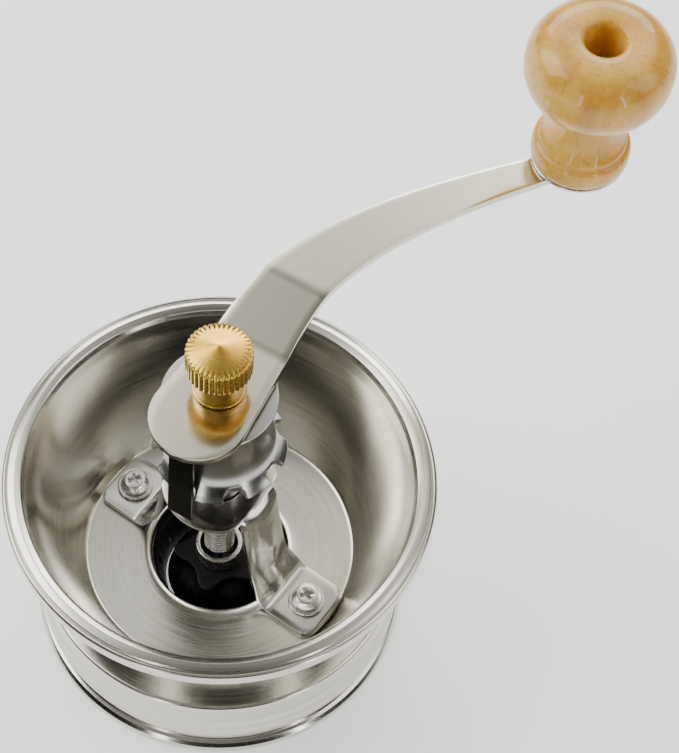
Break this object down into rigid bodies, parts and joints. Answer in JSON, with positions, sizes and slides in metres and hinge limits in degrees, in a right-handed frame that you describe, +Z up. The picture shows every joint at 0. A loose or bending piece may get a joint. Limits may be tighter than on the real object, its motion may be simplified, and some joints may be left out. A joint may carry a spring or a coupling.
{
  "type": "hand crank coffee grinder",
  "caption": "Open steel hopper on a screw collar for a glass jar, with a bridge, a toothed grind setting bell and a cranked arm with a turned wooden knob.",
  "frame": {"origin": "on the crank's axis, in the plane of the collar's lower edge, where the jar's neck enters", "axes": "+Z up along the crank's axis, out of the jar; the knob at rest is 36.1 degrees from +X towards +Y"},
  "size_m": [0.1503, 0.1279, 0.141],
  "materials": {
    "steel_brushed": "satin, spun",
    "steel_polished": "polished stainless steel",
    "steel_plain": "plain steel",
    "burr_black": "dark, slightly glossy",
    "brass": "polished",
    "wood_lacquered": "clear gloss lacquer",
    "rubber_white": "matt"
  },
  "bodies": {
    "head": {"hopper_bowl": "steel_brushed", "screw_collar": "steel_brushed", "jar_gasket": "rubber_white", "bridge": "steel_polished", "bridge_bush": "steel_plain", "bridge_washer_left": "steel_plain", "bridge_screw_left": "steel_plain", "bridge_nut_left": "steel_plain", "bridge_washer_right": "steel_plain", "bridge_screw_right": "steel_plain", "bridge_nut_right": "steel_plain", "burr_housing": "steel_plain", "outer_burr": "burr_black"},
    "crank": {"crank_arm": "steel_polished", "lock_clip": "steel_plain", "bell_cap": "steel_polished", "adjusting_bell": "steel_polished", "adjusting_nut": "steel_plain", "knob_axle": "steel_plain", "knob_washer": "steel_plain", "knob_nut": "steel_plain"},
    "shaft": {"drive_shaft": "steel_plain", "burr_spacer": "steel_plain", "inner_burr": "burr_black", "burr_washer": "steel_plain", "burr_nut": "steel_plain"},
    "thumb_nut": {"thumb_nut": "brass"},
    "knob": {"crank_knob": "wood_lacquered"}
  },
  "joints": [
    {"name": "crank_turn", "type": "hinge", "parent": "head", "child": "crank", "pos_m": [0, 0, 0.0966], "axis": [0, 0, 1], "continuous": true},
    {"name": "grind_adjust", "type": "slide", "parent": "crank", "child": "shaft", "axis": [0, 0, 1], "range_m": [-0.0012, 0.0012]},
    {"name": "thumb_nut_turn", "type": "hinge", "parent": "crank", "child": "thumb_nut", "pos_m": [0, 0, 0.105], "axis": [0, 0, 1], "continuous": true},
    {"name": "knob_spin", "type": "hinge", "parent": "crank", "child": "knob", "pos_m": [0.0829, 0.06045, 0.12], "axis": [0, 0, 1], "continuous": true}
  ]
}
